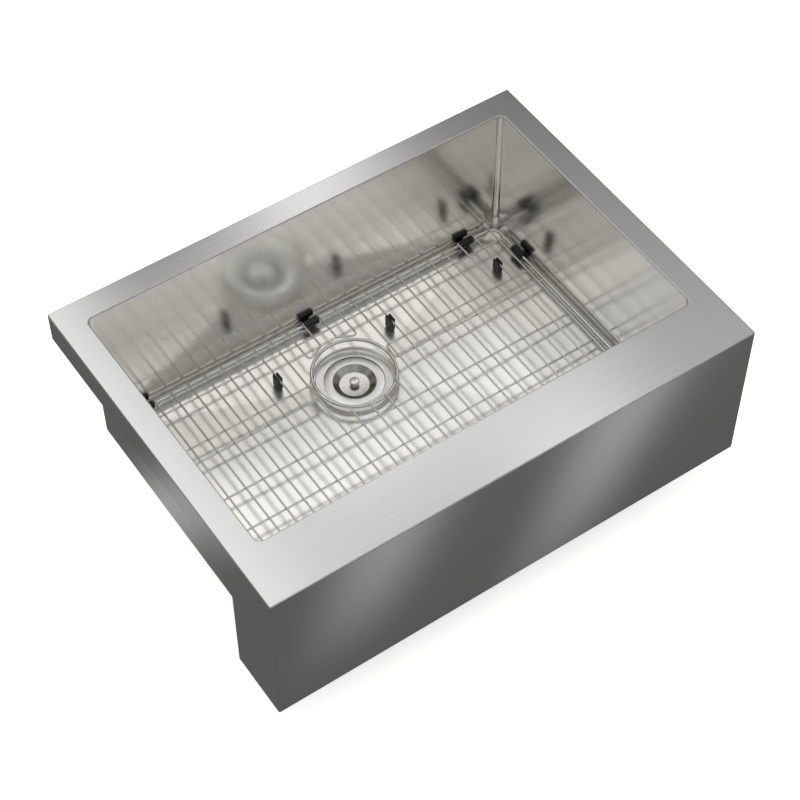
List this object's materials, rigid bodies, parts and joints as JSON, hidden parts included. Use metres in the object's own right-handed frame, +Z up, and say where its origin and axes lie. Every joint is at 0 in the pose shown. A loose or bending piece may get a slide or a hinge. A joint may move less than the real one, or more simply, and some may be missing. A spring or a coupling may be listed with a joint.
{
  "type": "apron front kitchen sink",
  "caption": "Single bowl apron front sink of brushed steel, with a basket strainer, a dished stopper and a wire bottom grid on rubber feet.",
  "frame": {"origin": "centre of the deck's rectangle, at the height of its top face", "axes": "+X along the apron to the right, +Y from the apron to the rear, +Z up; the apron faces -Y"},
  "size_m": [0.762, 0.5588, 0.333],
  "materials": {
    "deck_steel": "brushed along the length",
    "apron_steel": "brushed along the length",
    "bowl_steel": "satin",
    "bracket_steel": "mill finish",
    "sound_pad": "matt bitumen rubber",
    "strainer_steel": "brushed in circles",
    "basket_steel": "satin",
    "nut_metal": "cast, satin",
    "seal_rubber": "matt",
    "sealing_ring": "matt, pale grey",
    "fibre_washer": "pressed fibre",
    "nylon": "plain, white",
    "wire_steel": "polished wire",
    "grid_rubber": "matt"
  },
  "bodies": {
    "sink": {"deck_plate": "deck_steel", "apron_skirt": "apron_steel", "rear_lip": "apron_steel", "bowl_shell": "bowl_steel", "apron_bracket_left": "bracket_steel", "apron_bracket_right": "bracket_steel", "front_wall_pad": "sound_pad", "rear_wall_pad": "sound_pad", "floor_pad_left": "sound_pad", "floor_pad_right": "sound_pad", "floor_pad_front": "sound_pad", "flange_gasket": "sealing_ring", "strainer_body": "strainer_steel", "sink_gasket": "seal_rubber", "friction_washer": "fibre_washer", "lock_nut": "nut_metal", "tailpiece_washer": "nylon", "coupling_nut": "nut_metal"},
    "basket": {"strainer_basket": "basket_steel", "basket_bush": "nylon"},
    "stopper": {"stopper_plate": "strainer_steel", "stopper_seal": "seal_rubber", "stopper_knob": "strainer_steel", "stopper_post": "basket_steel", "post_clip": "basket_steel"},
    "grid": {"grid_frame": "wire_steel", "grid_long_wires": "wire_steel", "grid_cross_wires": "wire_steel", "grid_drain_ring": "wire_steel", "grid_lower_rails": "wire_steel", "grid_feet": "grid_rubber", "grid_bumpers": "grid_rubber"}
  },
  "joints": [
    {"name": "grid_lift", "type": "slide", "parent": "sink", "child": "grid", "axis": [0, 0, 1], "range_m": [0, 0.28]},
    {"name": "basket_lift", "type": "slide", "parent": "sink", "child": "basket", "axis": [0, 0, 1], "range_m": [0, 0.32]},
    {"name": "stopper_pull", "type": "slide", "parent": "basket", "child": "stopper", "axis": [0, 0, 1], "range_m": [0, 0.01]}
  ]
}
